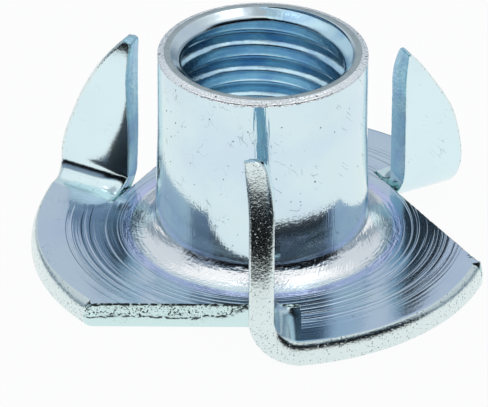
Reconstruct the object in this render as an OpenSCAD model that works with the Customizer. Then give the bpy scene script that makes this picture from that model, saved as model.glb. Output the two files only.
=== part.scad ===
// Tee nut: a tapped barrel drawn up out of a round sheet flange, with
// prongs cut from the flange along chords and folded up beside the barrel.
// One piece of sheet steel. Rests on the flange, barrel up, +Z up, millimetres.
// The origin is on the barrel's axis, in the plane of the flange's underside.

/* [Barrel] */
// Major diameter of the internal thread
thread_major_d = 8.0; // [7.0:0.05:8.8]
// Distance between neighbouring thread turns
thread_pitch = 1.25; // [1.0:0.05:1.5]
// Share of a full sharp-cut thread depth that the turns reach
thread_depth_share = 0.86; // [0.7:0.01:1.0]
// Wall of the barrel outside the bore, thread turns included
barrel_wall = 1.0; // [0.8:0.01:1.2]
// Height of the barrel's mouth above the resting face
total_height = 9.53; // [8.8:0.01:12.4]
// Growth of the outside radius from the straight part down to the foot
draft_growth = 0.11; // [0.02:0.01:0.18]
// Length of the straight part of the outside, from the mouth down
straight_length = 3.53; // [1.8:0.01:5.3]

/* [Barrel mouth] */
// Width of the flat ring on top of the barrel, corner round included
mouth_flat = 0.53; // [0.35:0.01:0.65]
// Round on the outside corner of the mouth
mouth_corner_r = 0.11; // [0.05:0.01:0.22]
// Depth of the shallow countersink that runs down to the bore
countersink_depth = 0.34; // [0.2:0.02:0.6]

/* [Flange] */
// Outside diameter of the flange
flange_d = 19.6; // [17.6:0.2:22.0]
// Thickness of the sheet, the same in the flange and in the prongs
sheet_t = 1.06; // [0.88:0.01:1.32]
// Round on the upper edge of the rim
rim_top_r = 0.25; // [0.09:0.01:0.35]
// Round on the lower edge of the rim
rim_bottom_r = 0.14; // [0.06:0.01:0.26]
// Width of the hollow foot that joins the barrel to the flange
foot_width = 1.17; // [0.8:0.01:1.4]
// Height of that foot above the flange
foot_height = 0.75; // [0.45:0.01:1.05]
// Round where the underside turns up into the bore
entry_r = 0.97; // [0.5:0.01:1.3]

/* [Prongs] */
// Number of prongs, evenly spaced round the flange
prong_count = 3; // [2:1:4]
// Distance from the axis to the straight cut that frees each prong
cut_distance = 6.58; // [6.36:0.01:7.4]
// Height of the prong tips above the resting face, before they are rounded
prong_height = 8.43; // [6.6:0.01:9.2]
// Inside radius of the bend between the flange and a prong
bend_r = 1.065; // [0.53:0.005:1.4]
// How much narrower the fold is than the sheet beside it, at the rim
fold_draw_in = 0.03; // [0.02:0.01:0.08]
// Share of the bend radius by which the fold is rounded off at its root
root_round_share = 0.85; // [0.4:0.05:0.95]
// Round on the tip of a prong, seen from its side
prong_tip_r = 0.23; // [0.1:0.01:0.5]
// Thickness lost at the tip, on the face that was the sheet's upper face
tip_roll = 0.53; // [0.18:0.01:0.7]
// Length over which the tip thins
tip_roll_length = 2.3; // [1.3:0.1:3.5]

/* [Sheared edges] */
// Gap that the cut leaves between the flange and the prong's sheared edge
cut_gap = 0.05; // [0.03:0.01:0.1]
// Share of the sheet's thickness that sheared cleanly, from the underside up
clean_shear_share = 0.45; // [0.2:0.05:0.8]
// How far the torn part of the cut leans back at the top face
tear_back = 0.08; // [0.02:0.01:0.18]

/* [Hidden] */
// Share of the pitch taken up by the depth of a sharp 60 degree thread, twice
full_depth_factor = 1.0825;
// Overlap that keeps the cutting shapes clear of the faces they cut
clear = 1;
// Skin of sheet left below the round at the root of the fold
root_skin = 0.02;
// Length by which the fold runs on straight, into the flange and into the prong
fold_tail = 0.05;
// Facets of the turned shapes
turn_facets = 72;
// Facets of the large curved edge of a prong
blade_facets = 120;
// Facets of the small rounds
round_facets = 24;
// Bright zinc plating
zinc_colour = [0.74, 0.79, 0.85];

bore_r = (thread_major_d - thread_depth_share * full_depth_factor * thread_pitch) / 2;
barrel_r = bore_r + barrel_wall;
foot_r = barrel_r + draft_growth;
foot_top = sheet_t + foot_height;
straight_from = total_height - straight_length;
// Hollow of the foot: an arc that leaves the flange smoothly and meets the barrel's outside
foot_arc_r = (foot_width * foot_width + foot_height * foot_height) / (2 * foot_height);
mouth_r = barrel_r - mouth_flat;
flange_r = flange_d / 2;
// Distance from the axis to the prong's sheared edge
prong_edge = cut_distance + cut_gap;
bend_outer_r = bend_r + sheet_t;
// The bend leaves the flange at this distance from the prong's mid plane
bend_start = sheet_t / 2 + bend_r;
// Outer and inner face of a standing prong, across its mid plane
blade_outer_y = bend_start - bend_outer_r;
blade_inner_y = bend_start - (bend_outer_r - sheet_t);
// Outer end of the bend, where the fold meets the rim
bend_reach = sqrt(flange_r * flange_r - bend_start * bend_start);
// Curved back of the prong: an arc about a point on the axis, through the end
// of the bend and through the tip
prong_arc_z = (prong_height * prong_height + prong_edge * prong_edge
               - bend_outer_r * bend_outer_r - bend_reach * bend_reach)
              / (2 * (prong_height - bend_outer_r));
prong_arc_r = sqrt(bend_reach * bend_reach + pow(bend_outer_r - prong_arc_z, 2));
// Round at the root of the fold, and how far its centre lies inside the sheared edge
root_r = bend_r * root_round_share;
root_inset = 0.9 * root_r;
// Curve of the face that thins towards the tip
tip_roll_from = prong_height - tip_roll_length;
tip_roll_r = (tip_roll_length * tip_roll_length + tip_roll * tip_roll) / (2 * tip_roll);
// Centre of the tip's round
tip_inset = 0.85 * prong_tip_r;
tip_x = prong_edge + tip_inset;
tip_z = prong_arc_z + sqrt(pow(prong_arc_r - tip_inset, 2) - tip_x * tip_x);
// Point of the curved back level with that centre, seen from the back's own centre
tip_back_x = tip_x * prong_arc_r / (prong_arc_r - tip_inset);
tip_back_z = prong_arc_z + (tip_z - prong_arc_z) * prong_arc_r / (prong_arc_r - tip_inset);

// Piece to draw

// Cross-section of the sheet from the axis out to its rim, both edges rounded.
// reach: distance from the axis to the rim
module sheet_section(reach) {
    square([reach - rim_top_r, sheet_t]);
    translate([0, rim_bottom_r])
        square([reach, sheet_t - rim_top_r - rim_bottom_r]);
    square([reach - rim_bottom_r, sheet_t - rim_top_r]);
    translate([reach - rim_top_r, sheet_t - rim_top_r])
        circle(r = rim_top_r, $fn = round_facets);
    translate([reach - rim_bottom_r, rim_bottom_r])
        circle(r = rim_bottom_r, $fn = round_facets);
}

// Half profile of the barrel, its foot, and the flange, before the bore is cut
module body_section() {
    sheet_section(flange_r);
    // straight and tapering parts of the outside, corner of the mouth rounded
    polygon([[0, 0], [foot_r, 0], [foot_r, foot_top], [barrel_r, straight_from],
             [barrel_r, total_height - mouth_corner_r],
             [barrel_r - mouth_corner_r, total_height - mouth_corner_r],
             [barrel_r - mouth_corner_r, total_height], [0, total_height]]);
    translate([barrel_r - mouth_corner_r, total_height - mouth_corner_r])
        circle(r = mouth_corner_r, $fn = round_facets);
    // hollow foot
    difference() {
        square([foot_r + foot_width, foot_top]);
        translate([foot_r + foot_width, sheet_t + foot_arc_r])
            circle(r = foot_arc_r, $fn = turn_facets);
    }
}

// Half profile of everything taken out along the axis
module bore_section() {
    translate([0, -clear])
        square([bore_r, total_height + 2 * clear]);
    // countersink of the mouth
    polygon([[0, total_height - countersink_depth],
             [bore_r, total_height - countersink_depth],
             [mouth_r, total_height], [mouth_r, total_height + clear],
             [0, total_height + clear]]);
    // rounded entry from the underside
    difference() {
        translate([0, -clear])
            square([bore_r + entry_r, clear + entry_r]);
        translate([bore_r + entry_r, entry_r])
            circle(r = entry_r, $fn = turn_facets);
    }
}

// Barrel and whole flange, turned about the axis
module turned_body() {
    rotate_extrude($fn = turn_facets)
        difference() {
            body_section();
            bore_section();
        }
}

// Space left in the flange by one prong: a straight cut, clean at the bottom,
// torn and leaning back at the top. The prong's mid plane is the XZ plane.
module prong_window() {
    translate([0, bend_start, 0])
        rotate([90, 0, 0])
            linear_extrude(height = bend_start + flange_r + clear)
                polygon([[cut_distance, -clear],
                         [cut_distance, sheet_t * clean_shear_share],
                         [cut_distance - tear_back, sheet_t],
                         [cut_distance - tear_back, foot_top],
                         [flange_r + clear, foot_top], [flange_r + clear, -clear]]);
}

// Corner taken off the inside of the bend at its root, rounded in plan and in height
module root_relief() {
    difference() {
        translate([prong_edge - clear, blade_inner_y + root_skin, sheet_t + root_skin])
            cube([root_inset + clear, bend_r + clear, bend_r + clear]);
        intersection() {
            translate([prong_edge + root_inset, bend_start - root_r, 0])
                cylinder(h = total_height, r = root_r, $fn = turn_facets);
            translate([prong_edge + root_inset, bend_start + clear, bend_outer_r - root_r])
                rotate([90, 0, 0])
                    cylinder(h = total_height, r = root_r, $fn = turn_facets);
        }
    }
}

// Cross-section of the fold, from the prong's sheared edge out to its rim
module fold_section() {
    intersection() {
        sheet_section(bend_reach - fold_draw_in);
        translate([prong_edge, 0])
            square([flange_r, sheet_t]);
    }
}

// Quarter turn of the sheet between the flange and the foot of the prong. Both
// ends go on straight for a short way, into the flange and into the prong.
module prong_bend() {
    translate([0, bend_start, 0])
        rotate([90, 0, 0])
            translate([0, 0, -fold_tail])
                linear_extrude(height = fold_tail)
                    fold_section();
    translate([0, bend_start, bend_outer_r])
        rotate([0, 90, 0])
            rotate([0, 0, -90])
                rotate_extrude(angle = 90, $fn = turn_facets)
                    translate([bend_outer_r, 0])
                        rotate([0, 0, 90])
                            fold_section();
    translate([0, blade_outer_y, bend_outer_r])
        linear_extrude(height = fold_tail)
            fold_section();
}

// Standing part of the prong: sheared edge towards the barrel, curved rim
// outside, round tip
module prong_blade() {
    intersection() {
        translate([0, blade_outer_y, prong_arc_z])
            rotate([-90, 0, 0])
                rotate_extrude($fn = blade_facets)
                    sheet_section(prong_arc_r);
        // side of the blade, its upper face rolled off towards the tip
        rotate([90, 0, 90])
            linear_extrude(height = prong_arc_r + clear) {
                polygon([[blade_outer_y, bend_outer_r], [blade_inner_y, bend_outer_r],
                         [blade_inner_y, tip_roll_from], [blade_outer_y, tip_roll_from]]);
                intersection() {
                    translate([blade_outer_y, tip_roll_from - clear])
                        square([sheet_t, tip_roll_length + 2 * clear]);
                    translate([blade_inner_y - tip_roll_r, tip_roll_from])
                        circle(r = tip_roll_r, $fn = turn_facets);
                }
            }
        translate([0, sheet_t, 0])
            rotate([90, 0, 0])
                linear_extrude(height = 2 * sheet_t) {
                    polygon([[prong_edge, bend_outer_r], [prong_edge, tip_z],
                             [tip_back_x, tip_back_z],
                             [prong_arc_r + clear, tip_back_z],
                             [prong_arc_r + clear, bend_outer_r]]);
                    translate([tip_x, tip_z])
                        circle(r = prong_tip_r, $fn = round_facets);
                }
    }
}

// Direction of prong i seen from the axis; the first one points to -Y
function prong_angle(i) = -90 + i * 360 / prong_count;

// Repeats its children once for each prong
module each_prong() {
    for (i = [0 : prong_count - 1])
        rotate([0, 0, prong_angle(i)])
            children();
}

// The whole nut, one solid
module tee_nut() {
    color(zinc_colour)
        union() {
            difference() {
                turned_body();
                each_prong() prong_window();
            }
            each_prong() {
                difference() {
                    prong_bend();
                    root_relief();
                }
                prong_blade();
            }
        }
}

tee_nut();
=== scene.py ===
"""Dressed model of a pronged tee nut: zinc-plated sheet steel, drawn, tapped, sheared and folded."""

import logging
import math
from collections.abc import Callable
from dataclasses import astuple, dataclass
from enum import Enum

import bmesh
import bpy
import numpy as np
from mathutils import Matrix, Vector, geometry, noise


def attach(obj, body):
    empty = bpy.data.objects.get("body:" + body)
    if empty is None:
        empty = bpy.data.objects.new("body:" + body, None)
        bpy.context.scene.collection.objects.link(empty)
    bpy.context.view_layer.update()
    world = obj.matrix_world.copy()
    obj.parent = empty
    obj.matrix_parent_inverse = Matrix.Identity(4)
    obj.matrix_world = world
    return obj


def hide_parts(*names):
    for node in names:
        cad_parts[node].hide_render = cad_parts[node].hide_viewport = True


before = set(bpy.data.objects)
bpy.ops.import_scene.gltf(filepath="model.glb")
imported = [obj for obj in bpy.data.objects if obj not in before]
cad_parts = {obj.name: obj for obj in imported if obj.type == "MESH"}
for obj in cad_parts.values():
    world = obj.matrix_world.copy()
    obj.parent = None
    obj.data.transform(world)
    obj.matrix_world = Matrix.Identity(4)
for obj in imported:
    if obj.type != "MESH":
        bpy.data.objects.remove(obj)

LOG = logging.getLogger("tee_nut")
MM = 0.001


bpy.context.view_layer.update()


# ---------------------------------------------------------------- sizes


@dataclass(frozen=True)
class NutSizes:
    """Sizes of the nut in millimetres, the same as those of its solid."""

    thread_minor_r: float = 3.4182
    thread_pitch: float = 1.25
    barrel_r: float = 4.4182
    foot_r: float = 4.5282
    foot_top: float = 1.81
    straight_from: float = 6.0
    height: float = 9.53
    mouth_r: float = 3.8882
    corner_r: float = 0.11
    entry_r: float = 0.97
    flange_r: float = 9.8
    sheet: float = 1.06
    foot_width: float = 1.17
    prong_count: int = 3
    cut: float = 6.58
    cut_gap: float = 0.05
    prong_height: float = 8.43
    bend_r: float = 1.065
    tip_r: float = 0.23
    tip_roll: float = 0.53
    tip_roll_length: float = 2.3
    rim_draw: float = 0.03

    @property
    def foot_arc_r(self) -> float:
        """Radius of the hollow foot."""
        rise = self.foot_top - self.sheet
        return (self.foot_width**2 + rise**2) / (2 * rise)

    @property
    def edge(self) -> float:
        """Distance from the axis to a prong's sheared edge."""
        return self.cut + self.cut_gap

    @property
    def bend_outer_r(self) -> float:
        """Outside radius of the fold."""
        return self.bend_r + self.sheet

    @property
    def bend_start(self) -> float:
        """Distance from a prong's mid plane at which its fold leaves the flange."""
        return self.bend_r + self.sheet / 2

    @property
    def bend_length(self) -> float:
        """Length of the fold along the middle of the sheet."""
        return math.pi / 2 * (self.bend_r + self.sheet / 2)

    @property
    def reach(self) -> float:
        """Distance from the axis to the rim, along the fold's first line."""
        return math.sqrt(self.flange_r**2 - self.bend_start**2)

    @property
    def arc_z(self) -> float:
        """Height of the centre of a prong's curved back."""
        squares = self.prong_height**2 + self.edge**2 - self.bend_outer_r**2 - self.reach**2
        return squares / (2 * (self.prong_height - self.bend_outer_r))

    @property
    def arc_r(self) -> float:
        """Radius of a prong's curved back."""
        return math.hypot(self.reach, self.bend_outer_r - self.arc_z)

    @property
    def roll_r(self) -> float:
        """Radius of the curve by which a prong thins towards its tip."""
        return (self.tip_roll_length**2 + self.tip_roll**2) / (2 * self.tip_roll)

    @property
    def roll_from(self) -> float:
        """Height at which a prong starts to thin."""
        return self.prong_height - self.tip_roll_length


SIZES = NutSizes()


class Finish(Enum):
    """Finishes of the nut, by the process that left each surface."""

    BARREL = "drawn_barrel_zinc"
    FOOT = "coined_foot_zinc"
    FLANGE = "rolled_flange_zinc"
    PRONG = "folded_prong_zinc"
    RIM = "blanked_rim_zinc"
    CUT = "torn_cut_zinc"
    SHEAR = "sheared_edge_zinc"
    LIP = "chamfered_lip_zinc"
    MOUTH = "faced_mouth_zinc"
    CONE = "countersunk_cone_zinc"
    THREAD = "tapped_thread_zinc"


FINISH_ORDER = list(Finish)

# a stretch of a half profile: its finish, and its points as distance from the axis and height
Stretch = tuple[Finish, list[tuple[float, float]]]


# ---------------------------------------------------------------- small maths


def smooth(low: float, high: float, value: np.ndarray | float) -> np.ndarray:
    """Returns a smooth step from 0 at low to 1 at high.

    Args:
        low: value at which the step starts.
        high: value at which it ends; it may be below low.
        value: where the step is wanted.

    Returns:
        The step, between 0 and 1.
    """
    share = np.clip((np.asarray(value, float) - low) / (high - low), 0.0, 1.0)
    return share * share * (3 - 2 * share)


def ripple(x: float, y: float, z: float, size: float) -> float:
    """Returns soft noise between about -1 and 1.

    Args:
        x: first coordinate in millimetres.
        y: second coordinate in millimetres.
        z: third coordinate in millimetres.
        size: size of one bump in millimetres.

    Returns:
        The noise.
    """
    return noise.noise(Vector((x / size, y / size, z / size)))


def turn(points: np.ndarray, angle: float) -> np.ndarray:
    """Turns points about the axis.

    Args:
        points: array of x, y and perhaps z, one row a point.
        angle: turn in radians, counterclockwise from above.

    Returns:
        The turned points.
    """
    cosine, sine = math.cos(angle), math.sin(angle)
    out = np.array(points, float)
    out[..., 0] = points[..., 0] * cosine - points[..., 1] * sine
    out[..., 1] = points[..., 0] * sine + points[..., 1] * cosine
    return out


class MeshStore:
    """Vertices and faces of a mesh while it is being made, in millimetres."""

    def __init__(self) -> None:
        """Starts empty."""
        self.points: list[tuple[float, float, float]] = []
        self.faces: list[tuple[int, ...]] = []
        self.finish: list[int] = []

    def add_points(self, points: np.ndarray) -> int:
        """Adds points.

        Args:
            points: places in millimetres, x, y and z in the last direction of the array.

        Returns:
            The index of the first one.
        """
        first = len(self.points)
        self.points.extend(map(tuple, np.asarray(points, float).reshape(-1, 3).tolist()))
        return first

    def add_face(self, corners: tuple[int, ...], finish: Finish) -> None:
        """Adds one face with its finish."""
        self.faces.append(corners)
        self.finish.append(FINISH_ORDER.index(finish))

    def add_grid(self, grid: np.ndarray, finish_at: Callable[[int, int], Finish]) -> None:
        """Adds a grid of quads whose last row joins the first.

        Args:
            grid: points as rows by columns by 3.
            finish_at: gives a quad's finish, from the number of its second row and that of its
                first column.
        """
        rows, columns = grid.shape[:2]
        first = self.add_points(grid)
        for row in range(rows):
            following = (row + 1) % rows
            for column in range(columns - 1):
                a = first + row * columns + column
                b = first + following * columns + column
                self.add_face((a, b, b + 1, a + 1), finish_at(following, column))

    def build(self, name: str) -> bpy.types.Object:
        """Makes one welded object of what was added, in metres.

        Args:
            name: the object's name.

        Returns:
            The object.
        """
        mesh = bpy.data.meshes.new(name)
        mesh.from_pydata([tuple(v * MM for v in p) for p in self.points], [], self.faces)
        mesh.polygons.foreach_set("material_index", self.finish)
        work = bmesh.new()
        work.from_mesh(mesh)
        bmesh.ops.remove_doubles(work, verts=work.verts, dist=2e-7)
        bmesh.ops.dissolve_degenerate(work, edges=work.edges, dist=1e-8)
        bmesh.ops.recalc_face_normals(work, faces=work.faces)
        if work.calc_volume(signed=True) < 0:
            bmesh.ops.reverse_faces(work, faces=work.faces)
        work.to_mesh(mesh)
        work.free()
        piece = bpy.data.objects.new(name, mesh)
        bpy.context.scene.collection.objects.link(piece)
        return piece


# ---------------------------------------------------------------- barrel


@dataclass
class TurnedBarrel:
    """Barrel with its foot, its mouth and the inner part of the flange."""

    sizes: NutSizes = SIZES
    columns: int = 288
    # where the flat sheet takes over from the turned part
    sheet_from: float = 6.09
    # bore before tapping, a little under the thread's crests so that the tap cleans it up
    core_r: float = 3.355
    # how far the mouth's ring stands over its edges, and how far its outer edge is rounded down
    mouth_crown: float = 0.02
    mouth_fall: float = 0.06
    # countersink: slope, step down from the ring, and the round of its inner edge up to end_lean
    cone_slope: float = math.radians(32.4)
    cone_drop: float = 0.045
    cone_edge_r: float = 0.4
    end_lean: float = math.radians(8)

    def outside(self) -> list[Stretch]:
        """Draws the half profile from the flange's top to the mouth.

        Returns:
            Its stretches.
        """
        s = self.sizes
        arc = s.foot_arc_r
        outer = s.foot_r + s.foot_width
        last = math.asin(s.foot_width / arc)
        foot = [
            (outer - arc * math.sin(last * i / 12), s.sheet + arc * (1 - math.cos(last * i / 12)))
            for i in range(13)
        ]
        slope = (s.foot_r - s.barrel_r) / (s.straight_from - s.foot_top)
        low = np.linspace(s.foot_top + 0.09, s.straight_from, 13)
        top = s.height - s.corner_r
        high = np.linspace(s.straight_from, top - 0.1, 8)[1:]
        return [
            (Finish.FLANGE, [(self.sheet_from, s.sheet), (5.9, s.sheet)]),
            (Finish.FOOT, foot),
            (Finish.BARREL, [(s.foot_r - (z - s.foot_top) * slope, z) for z in low]),
            (Finish.BARREL, [(s.barrel_r, z) for z in high]),
            # the facing tool's step under the lip
            (Finish.LIP, [(s.barrel_r - 0.004, top - 0.095), (s.barrel_r - 0.045, top - 0.06)]),
        ]

    def mouth(self) -> list[Stretch]:
        """Draws the half profile from the mouth's outside corner to the first thread turn.

        Returns:
            Its stretches.
        """
        s = self.sizes
        top = s.height - s.corner_r
        corner = [
            (
                s.barrel_r - s.corner_r * (1 - math.cos(a)),
                top - self.mouth_crown + (s.corner_r - self.mouth_fall) * math.sin(a),
            )
            for a in np.linspace(0, math.pi / 2, 7)
        ]
        ring_from = s.barrel_r - s.corner_r
        ring = [
            (
                ring_from + (s.mouth_r - ring_from) * share,
                s.height
                - self.mouth_crown * (1 - math.sin(math.pi * share**0.8))
                - self.mouth_fall * (1 - share) ** 2,
            )
            for share in np.linspace(0.125, 1, 8)
        ]
        centre = s.thread_minor_r - 0.007 + self.cone_edge_r * math.cos(self.end_lean)
        on_cone = centre - self.cone_edge_r * math.sin(self.cone_slope)
        cone_z = s.height - (s.mouth_r - on_cone) * math.tan(self.cone_slope) - self.cone_drop
        centre_z = cone_z - self.cone_edge_r * math.cos(self.cone_slope)
        middle = ((s.mouth_r + on_cone) / 2, (s.height - self.cone_drop + cone_z) / 2)
        edge = [
            (centre - self.cone_edge_r * math.cos(a), centre_z + self.cone_edge_r * math.sin(a))
            for a in np.linspace(math.pi / 2 - self.cone_slope, self.end_lean, 10)
        ]
        return [
            (Finish.LIP, corner + ring[:3]),
            (Finish.MOUTH, ring[3:]),
            (Finish.CONE, [(s.mouth_r - 0.018, s.height - 0.03), middle]),
            (Finish.CONE, edge),
            (Finish.THREAD, [(s.thread_minor_r - 0.027, centre_z - 0.09), (self.core_r, centre_z - 0.3)]),
        ]

    def underside(self) -> list[Stretch]:
        """Draws the half profile from the bore, round its entry, to the flange's underside.

        Returns:
            Its stretches.
        """
        s = self.sizes
        entry = s.entry_r + 0.03
        centre = s.thread_minor_r + s.entry_r
        return [
            (Finish.THREAD, [(self.core_r, s.height / 2), (self.core_r, entry + 0.1)]),
            (
                Finish.FOOT,
                [
                    (centre - entry * math.cos(a), entry * (1 - math.sin(a)))
                    for a in np.linspace(0, math.pi / 2, 11)
                ],
            ),
            (Finish.FLANGE, [(centre + 0.3, 0.0), (5.1, 0.0), (5.6, 0.0), (self.sheet_from, 0.0)]),
        ]

    def add_to(self, store: MeshStore) -> None:
        """Adds the turned surface to a mesh.

        Args:
            store: the mesh.
        """
        points: list[tuple[float, float]] = []
        finishes: list[Finish] = []
        for finish, stretch in self.outside() + self.mouth() + self.underside():
            finishes += [finish] * len(stretch)
            points += stretch
        angles = np.arange(self.columns) * 2 * math.pi / self.columns
        profile = np.array(points)
        grid = np.empty((self.columns, len(points), 3))
        grid[:, :, 0] = profile[None, :, 0] * np.cos(angles)[:, None]
        grid[:, :, 1] = profile[None, :, 0] * np.sin(angles)[:, None]
        grid[:, :, 2] = profile[None, :, 1]
        store.add_grid(grid, lambda _, column: finishes[column + 1])
        LOG.info("turned barrel: %d rings of %d points", len(points), self.columns)


@dataclass
class ThreadTool:
    """Closed screw shape whose skin is the tapped thread."""

    sizes: NutSizes = SIZES
    steps: int = 168
    # a crest's height on the far side of the bore, and the turns cut in all and below it
    crest_z: float = 8.943
    turns: int = 10
    turns_below: int = 8
    # distance up the axis from the middle of a crest, and depth of the thread there: the tap
    # leaves the crest's lower corner sharp and rolls the upper one over
    above: tuple[tuple[float, float], ...] = (
        (0.0, 0.0), (0.08, 0.0), (0.14, 0.004), (0.2, 0.022), (0.255, 0.058), (0.31, 0.112),
        (0.37, 0.19), (0.45, 0.312), (0.503, 0.397), (0.5385, 0.441), (0.574, 0.466), (0.625, 0.4765),
    )
    below: tuple[tuple[float, float], ...] = (
        (0.0, 0.0), (0.13, 0.0), (0.245, 0.0), (0.262, 0.006), (0.296, 0.05), (0.353, 0.148),
        (0.441, 0.3), (0.503, 0.4), (0.5385, 0.441), (0.574, 0.466), (0.6, 0.474), (0.625, 0.4765),
    )

    def build(self) -> bpy.types.Object:
        """Makes the tool, a little longer than the bore at both ends.

        Returns:
            The tool as an object.
        """
        s = self.sizes
        above, below = np.array(self.above), np.array(self.below)
        offsets = np.concatenate([-below[:0:-1, 0], above[:-1, 0]])
        radius = s.thread_minor_r + np.concatenate([below[:0:-1, 1], above[:-1, 1]])
        rows = len(offsets)
        total = self.turns * self.steps
        store = MeshStore()
        index = np.arange(total + 1)
        angle = math.pi / 2 + 2 * math.pi * index / self.steps
        lift = self.crest_z + s.thread_pitch * (index / self.steps - self.turns_below)
        grid = np.empty((total + 1, rows, 3))
        grid[:, :, 0] = np.cos(angle)[:, None] * radius[None, :]
        grid[:, :, 1] = np.sin(angle)[:, None] * radius[None, :]
        grid[:, :, 2] = lift[:, None] + offsets[None, :]
        first = store.add_points(grid)

        def at(step: int, row: int) -> int:
            """Finds a point of the skin.

            Args:
                step: number of steps along the helix.
                row: point of the profile; the one past the last is the first one, a turn on.

            Returns:
                The point's index.
            """
            if row == rows:
                return at(step + self.steps, 0)
            return first + step * rows + row

        for step in range(total):
            last_row = rows if step < total - self.steps else rows - 1
            for row in range(last_row):
                corners = (at(step, row), at(step + 1, row), at(step + 1, row + 1), at(step, row + 1))
                store.add_face(corners, Finish.THREAD)
        bottom = [at(step, 0) for step in range(self.steps + 1)]
        bottom += [at(0, row) for row in range(rows - 1, 0, -1)]
        top = [at(step, rows - 1) for step in range(total - self.steps, total + 1)]
        top += [at(total, row) for row in range(rows - 2, -1, -1)]
        for ring, height in ((bottom, grid[:, :, 2].min() - 2), (top, grid[:, :, 2].max() + 2)):
            apex = store.add_points(np.array([[0, 0, height]]))
            for a, b in zip(ring, ring[1:] + ring[:1]):
                store.add_face((a, b, apex), Finish.THREAD)
        return store.build("thread_tool")


# ---------------------------------------------------------------- sheet


class Edge(Enum):
    """Stretches of the sheet's outline."""

    RIM = "rim"
    CORNER = "corner"
    CHORD = "chord"
    SLIT = "slit"
    SHEAR = "shear"
    TIP = "tip"
    BACK = "back"
    FOLD = "fold"


STANDING = (Edge.SHEAR, Edge.TIP, Edge.BACK, Edge.FOLD, Edge.SLIT)


@dataclass(frozen=True)
class Rounding:
    """How an edge of the sheet is rounded, in millimetres.

    The upper corner is rounded over top_run across and top_drop down, the lower one over
    low_run across and low_drop up.
    """

    top_run: float
    top_drop: float
    low_run: float
    low_drop: float

    def toward(self, other: "Rounding", share: float) -> "Rounding":
        """Returns the rounding that lies a share of the way to another."""
        return Rounding(*(a + (b - a) * share for a, b in zip(astuple(self), astuple(other))))


@dataclass
class Station:
    """One place on the outline of the flat blank, in the frame of its prong.

    The blank is flat here: a prong still lies in the flange, beside its cut. The edge's
    section runs from outer as far as inset along inward. along is the place's distance or
    share along its own stretch.
    """

    edge: Edge
    outer: tuple[float, float]
    inward: tuple[float, float]
    inset: float
    along: float
    rounding: Rounding


@dataclass(frozen=True)
class ProngForm:
    """What sets one prong apart from the others, in millimetres but for the angle and slopes.

    lean is how far the tip's outer and inner faces bend over, slope is how far the whole blade
    leans for each millimetre up, thin is the share of the roll-off on its inner face, height is
    added to its tip. edge_in moves the sheared edge in, foot_out moves the back out near the
    fold, back_in moves it in below the tip. dish is how deep the inner face dips beside the
    sheared edge. point is the radius that rounds the inner face into the very tip. lead is how
    far the sheet rises towards the fold. corner_burr and fold_burr are the heights of the burrs
    at the two ends of its cut. seed starts its noise.
    """

    angle: float
    lean: tuple[float, float] = (0.0, 0.0)
    slope: float = 0.0
    thin: float = 0.85
    height: float = 0.0
    edge_in: float = 0.0
    foot_out: float = 0.0
    back_in: float = 0.0
    dish: float = 0.0
    point: float = 0.0
    lead: float = 0.0
    corner_burr: float = 0.0
    fold_burr: float = 0.0
    seed: float = 0.0


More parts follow.
